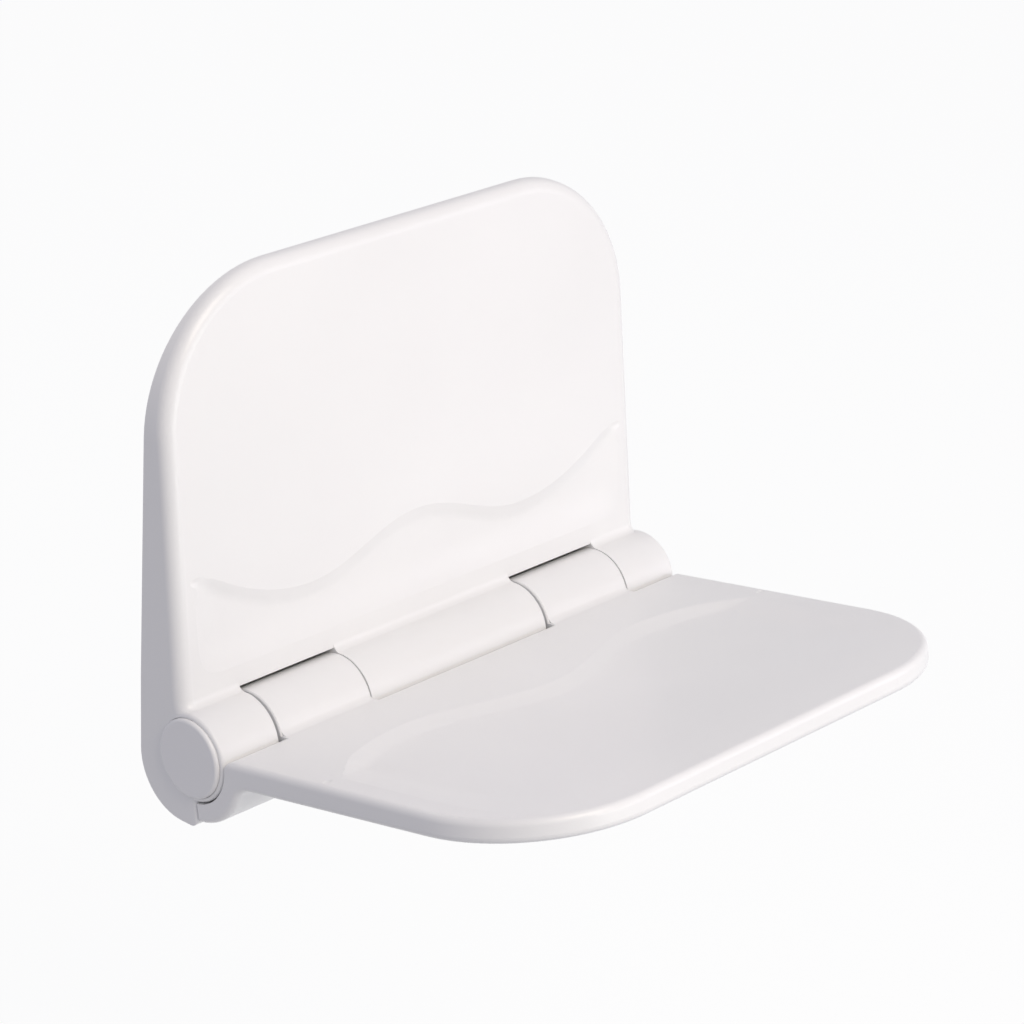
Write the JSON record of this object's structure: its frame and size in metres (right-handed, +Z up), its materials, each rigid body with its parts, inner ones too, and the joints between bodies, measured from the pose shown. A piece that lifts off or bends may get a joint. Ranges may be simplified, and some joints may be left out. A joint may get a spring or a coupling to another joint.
{
  "type": "folding shower seat",
  "caption": "Wall-mounted shower seat: a moulded backrest on a hidden wall plate, and a dished seat with rounded corners that folds up against it on a knuckle hinge.",
  "frame": {"origin": "on the wall plane, at the centre of the four wall holes", "axes": "+X along the hinge, +Y into the wall, +Z up; a person sits facing -Y"},
  "size_m": [0.385, 0.3013, 0.304],
  "materials": {
    "backrest_white": "satin",
    "seat_white": "satin",
    "cover_white": "satin",
    "cap_white": "satin",
    "plate_steel": "brushed",
    "screw_steel": "plain",
    "insert_brass": "plain",
    "shaft_steel": "ground",
    "bush_plastic": "matte",
    "pad_rubber": "matte"
  },
  "bodies": {
    "wall_unit": {"wall_plate": "plate_steel", "backrest_shell": "backrest_white", "clamp_screws": "screw_steel", "clamp_inserts": "insert_brass", "hinge_shaft": "shaft_steel", "shaft_washer_left": "screw_steel", "shaft_washer_right": "screw_steel", "shaft_screw_left": "screw_steel", "shaft_screw_right": "screw_steel", "end_cap_left": "cap_white", "end_cap_right": "cap_white"},
    "folding_seat": {"seat_shell": "seat_white", "seat_cover": "cover_white", "cover_screws": "screw_steel", "bush_left_outer": "bush_plastic", "bush_left_inner": "bush_plastic", "bush_right_inner": "bush_plastic", "bush_right_outer": "bush_plastic", "stop_pad_left": "pad_rubber", "stop_pad_right": "pad_rubber"}
  },
  "joints": [
    {"name": "seat_fold", "type": "hinge", "parent": "wall_unit", "child": "folding_seat", "pos_m": [0, -0.041, -0.095], "axis": [-1, 0, 0], "range_deg": [0, 86]}
  ]
}
